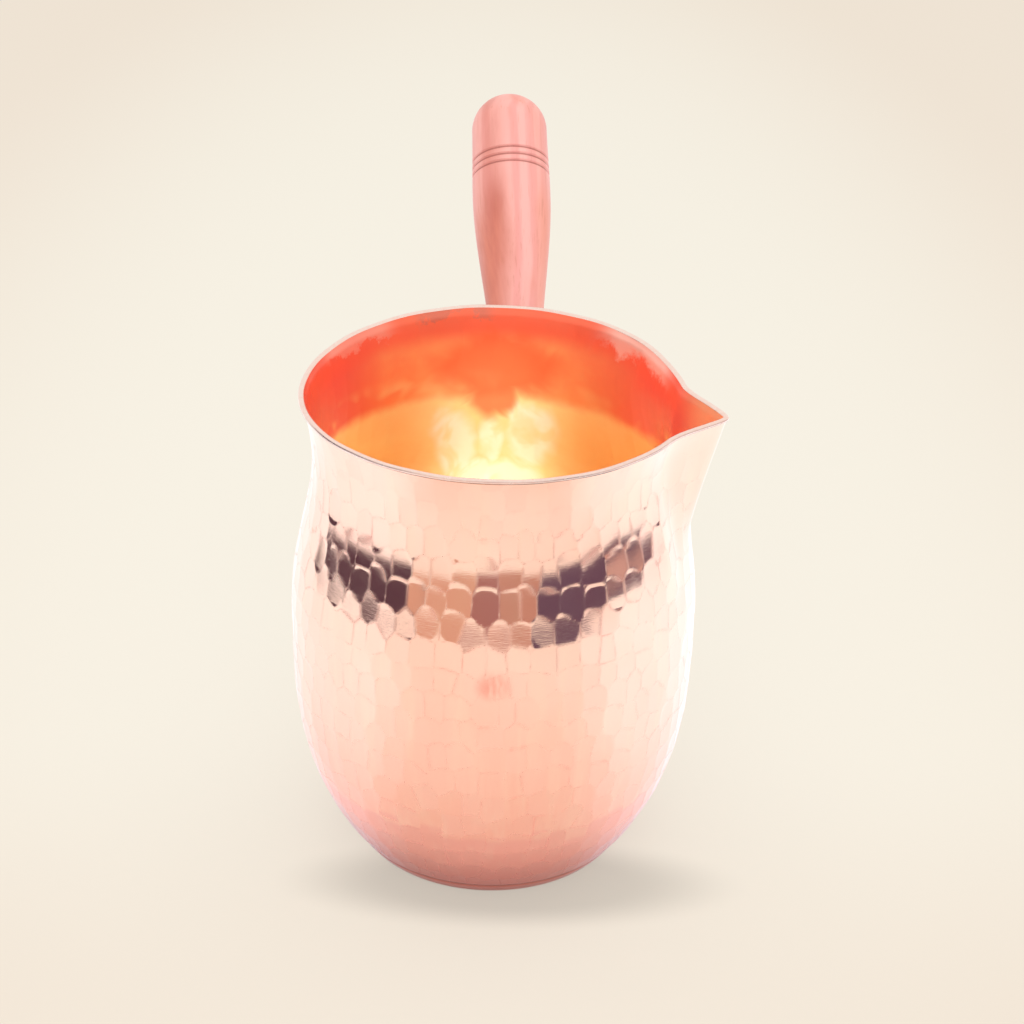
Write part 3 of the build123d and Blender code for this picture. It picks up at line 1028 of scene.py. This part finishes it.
def make_jug_shell():
    """One closed sheet: underside, hammered wall, rim bead, inner wall and inner floor."""
    turn = column_turns(jug_columns)
    underside = base_rings(turn, 0.0, base_corner, 0.0)
    floor = base_rings(turn, wall_thickness, base_corner - wall_thickness, floor_thickness)
    first, last = wall_length.at(underside[-1][0][2]), wall_length.at(outer_wall_top)
    upwards = np.linspace(first, last, outer_rows)[1:]
    outside, outer_dressing = hammered_rings(turn, upwards, outer_seed, outer_fade, outer_step)
    bead = rim_bead(turn)
    first, last = wall_length.at(floor[-1][0][2]), wall_length.at(inner_wall_top)
    downwards = np.linspace(last, first, inner_rows)[:-1]
    inside, inner_dressing = hammered_rings(turn, downwards, inner_seed, inner_fade, inner_step)
    shell = rings_to_mesh("jug_shell", underside + outside + bead + inside + floor[::-1])

    # The marks' edges and tones, for the paint; the underside, bead, floor and caps have none
    plain = np.zeros((len(turn), 2))
    dressing = [plain] * len(underside) + outer_dressing + [plain] * len(bead)
    values = np.concatenate(dressing + inner_dressing + [plain] * len(floor))
    colours = np.zeros((len(shell.data.vertices), 4))
    colours[: len(values), :2] = values
    layer = shell.data.color_attributes.new("hammer_marks", "FLOAT_COLOR", "POINT")
    layer.data.foreach_set("color", colours.ravel())

    # Finishes from the underside to the inner floor; the caps are the last faces, underside first
    for material in (outside_copper(), rim_copper(), inside_copper()):
        shell.data.materials.append(material)
    count = len(turn)
    bead_start = len(underside) + len(outside)
    inside_start = bead_start + len(bead) - bead_rings_inside
    ring_of_face = np.arange(len(shell.data.polygons)) // count
    slots = np.zeros(len(shell.data.polygons), int)
    slots[ring_of_face >= bead_start] = 1
    slots[ring_of_face >= inside_start] = 2
    slots[-2 * count : -count] = 0
    shell.data.polygons.foreach_set("material_index", slots.tolist())
    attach(shell, "root")
    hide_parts("jug_body")


def handle_matrix():
    """From a frame at the anchor point, with Z along the handle, to the row's frame."""
    turn, up = math.radians(handle_azimuth), math.radians(handle_rise)
    along = Vector((math.cos(turn) * math.cos(up), math.sin(turn) * math.cos(up), math.sin(up)))
    level = Vector((math.sin(turn), -math.cos(turn), 0.0))
    side = along.cross(level)
    matrix = Matrix((level, side, along)).transposed().to_4x4()
    matrix.translation = Vector((0.0, float(wall_radius(anchor_height)), anchor_height))
    return matrix


def handle_radius(station):
    """Radius of the turned handle from its shoulder to its domed end, grooves included."""
    narrowing = rise(station, socket_mouth, waist_run)
    shoulder = shoulder_radius + (waist_radius - shoulder_radius) * narrowing
    swelling = rise(station, waist_station, swell_run)
    grip = waist_radius + (swell_radius - waist_radius) * swelling
    ending = rise(station, swell_station, dome_start - swell_station)
    end = swell_radius + (end_radius - swell_radius) * ending
    grip_and_end = np.where(station <= swell_station, grip, end)
    radius = np.where(station <= waist_station, shoulder, grip_and_end)
    for groove in groove_stations:
        away = (station - groove) / groove_half_width
        radius = radius - groove_depth * np.sqrt(np.clip(1.0 - away**2, 0.0, 1.0))
    return radius


def handle_profile():
    """Pairs of radius and station, from the shank to the top of the dome."""
    grooves_low = handle_tip - groove_from_tip - groove_count * groove_spacing
    grooves_high = handle_tip - groove_from_tip + groove_spacing
    stations = np.concatenate(
        [
            np.arange(socket_mouth + profile_gap, grooves_low, grip_step),
            np.arange(grooves_low, grooves_high, groove_step),
            np.arange(grooves_high + profile_gap, dome_start, end_step),
        ]
    )
    profile = [(shank_radius, shank_start), (shank_radius + shank_flare, socket_mouth)]
    for inwards, onwards in shoulder_edge:
        profile.append((shoulder_radius - inwards, socket_mouth + onwards))
    profile += list(zip(handle_radius(stations), stations))
    for lift in np.radians(np.linspace(0.0, dome_last_lift, dome_rings)):
        profile.append((end_radius * math.cos(lift), dome_start + end_radius * math.sin(lift)))
    return profile


def make_turned_handle():
    """Shank, shoulder, grip, grooves and domed end, as one lathe-turned piece."""
    angle = np.radians(np.arange(handle_sides) / handle_sides * 360.0)
    ones = np.ones(angle.shape)
    matrix = np.array(handle_matrix())
    rings = []
    for radius, station in handle_profile():
        local = [radius * np.cos(angle), radius * np.sin(angle), station * ones, ones]
        rings.append((np.stack(local, axis=1) @ matrix.T)[:, :3])
    handle = rings_to_mesh("turned_handle", rings)
    handle.data.materials.append(turned_wood())
    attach(handle, "root")
    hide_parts("wooden_handle")


def dress_small_parts():
    """The plate, socket, boss, rivets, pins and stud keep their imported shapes."""
    copper = plain_copper()
    brass = drawn_metal("pin_brass", brass_colours, 0.2, 0.15)
    steel = drawn_metal("stud_steel", steel_colours, 0.3, 0.2)
    finishes = {
        "saddle_plate": copper,
        "handle_socket": copper,
        "stud_boss": copper,
        "rivet_left": copper,
        "rivet_right": copper,
        "rivet_lower": copper,
        "socket_pin_left": brass,
        "socket_pin_right": brass,
        "handle_stud": steel,
    }
    for name, material in finishes.items():
        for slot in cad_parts[name].material_slots:
            slot.material = material


def studio_point(x, y, z):
    """A point given in the frame that is turned with the camera."""
    return Matrix.Rotation(math.radians(studio_turn), 3, "Z") @ Vector((x, y, z))


def stage_panel(name, corners, material, camera_sees):
    """Flat stage piece between corners; one that the camera doesn't see shows in reflections."""
    mesh = bpy.data.meshes.new(name)
    points = [studio_point(*corner) for corner in corners]
    mesh.from_pydata(points, [], [list(range(len(points)))])
    mesh.materials.append(material)
    panel = bpy.data.objects.new(name, mesh)
    bpy.context.scene.collection.objects.link(panel)
    if not camera_sees:
        panel.visible_camera = False
        panel.visible_diffuse = False
        panel.visible_shadow = False
        panel.visible_transmission = False


def table_paper():
    """Cream paper with a soft shade at the jug's foot for the camera; in reflections it is
    white, and brightest at both sides of the jug."""
    finish = Finish("table_paper")
    place = finish.parts(finish.turned(finish.place(), about_z=-studio_turn))
    x, y = place["X"], place["Y"]
    across = (x - pale_place[0]) / pale_size[0]
    along = (y - pale_place[1]) / pale_size[1]
    away = (across * across + along * along).between(0.1, 2.2)
    away = away + y.below(-0.10, 0.05) * front_darkening
    shade = from_middle(x, y, shade_place, shade_size).below(*shade_edge)
    cream = finish.layers(
        finish.blend(away, table_centre_colour, table_edge_colour),
        (shade, shade_depth, black),
    )
    distance = (x * x + y * y) ** 0.5
    front = (y / distance * -1.0).between(0.35, 0.90)
    right = (x / distance).between(0.0, 0.8) * (y / distance).between(-0.5, 0.7)
    side_glow = finish.blend(right, left_glow_colour, right_glow_colour)
    seen = finish.node("ShaderNodeLightPath")["Is Camera Ray"]
    reflected = finish.blend(front, side_reflected_colour, front_reflected_colour)
    reflected_glow = finish.blend(front, side_glow, black)
    lit = finish.blend(seen, reflected, finish.blend(table_glow, cream, black))
    glow = finish.blend(seen, reflected_glow, finish.blend(table_glow, black, cream))
    return finish.surface(
        {
            "Base Color": lit,
            "Roughness": 0.9,
            "Specular IOR Level": 0.0,
            "Emission Color": glow,
            "Emission Strength": 1.0,
        }
    )


def glowing_card(name, colour):
    """A plain card of a fixed brightness, for things that reflect it."""
    finish = Finish(name)
    shader = finish.node("ShaderNodeEmission", None, {"Color": (*colour, 1.0), "Strength": 1.0})
    finish.node("ShaderNodeOutputMaterial", None, {"Surface": shader})
    return finish.material


def white_room():
    """World that is white in reflections, and cream like the table's edge behind the table."""
    world = bpy.data.worlds.new("white_room")
    finish = Finish("white_room", world)
    seen = finish.node("ShaderNodeLightPath")["Is Camera Ray"]
    colour = finish.blend(seen, room_colour, backdrop_colour)
    inputs = {"Color": colour, "Strength": room_brightness}
    background = finish.node("ShaderNodeBackground", None, inputs)
    finish.node("ShaderNodeOutputWorld", None, {"Surface": background})
    return world


def hang_lamp(name, light, place, aim):
    """Lamp at a place in the studio's frame, aimed at a point; no surface reflects it."""
    lamp = bpy.data.objects.new(name, light)
    lamp.location = studio_point(*place)
    lamp.rotation_euler = (aim - lamp.location).to_track_quat("-Z", "Y").to_euler()
    lamp.visible_glossy = False
    bpy.context.scene.collection.objects.link(lamp)


def hang_softbox(name, place, size, power):
    """Broad rectangular lamp, aimed at the middle of the jug."""
    light = bpy.data.lights.new(name, "AREA")
    light.shape = "RECTANGLE"
    light.size, light.size_y = size
    light.energy = power
    hang_lamp(name, light, place, Vector((0.0, 0.0, 0.5 * jug_height)))


def hang_spot(name, place, aim, radius, cone, power, softness):
    """Lamp with a narrow beam, for the light inside the jug."""
    light = bpy.data.lights.new(name, "SPOT")
    light.energy = power
    light.shadow_soft_size = radius
    light.spot_size = math.radians(cone)
    light.spot_blend = softness
    hang_lamp(name, light, place, aim)


def make_studio():
    """Pale table in a white room, with dark and tan cards along the table's edges."""
    outline = [place for place, _, _ in table_cards] + list(table_back)
    stage_panel("table", [(x, y, 0.0) for x, y in outline], table_paper(), True)
    finishes = {name: glowing_card(f"{name}_card", colour) for name, colour in card_colours.items()}
    for k, ((x0, y0), low_card, high_card) in enumerate(table_cards[:-1]):
        x1, y1 = table_cards[k + 1][0]
        for part, name, low, high in (
            ("low", low_card, 0.0, card_step),
            ("high", high_card, card_step, card_height),
        ):
            corners = [(x0, y0, low), (x1, y1, low), (x1, y1, high), (x0, y0, high)]
            stage_panel(f"{part}_card_{k}", corners, finishes[name], False)
    hang_softbox("overhead_softbox", overhead_place, overhead_size, overhead_power)
    hang_softbox("front_softbox", front_place, front_size, front_power)
    rim_centre = Vector((0.0, 0.0, jug_height))
    hang_spot("mouth_spot", mouth_spot_place, rim_centre, **mouth_spot_beam)
    hang_spot("back_wall_spot", wall_spot_place, studio_point(*wall_spot_aim), **wall_spot_beam)
    bpy.context.scene.world = white_room()
    bpy.context.scene.view_settings.view_transform = "Standard"


make_jug_shell()
make_turned_handle()
dress_small_parts()
make_studio()
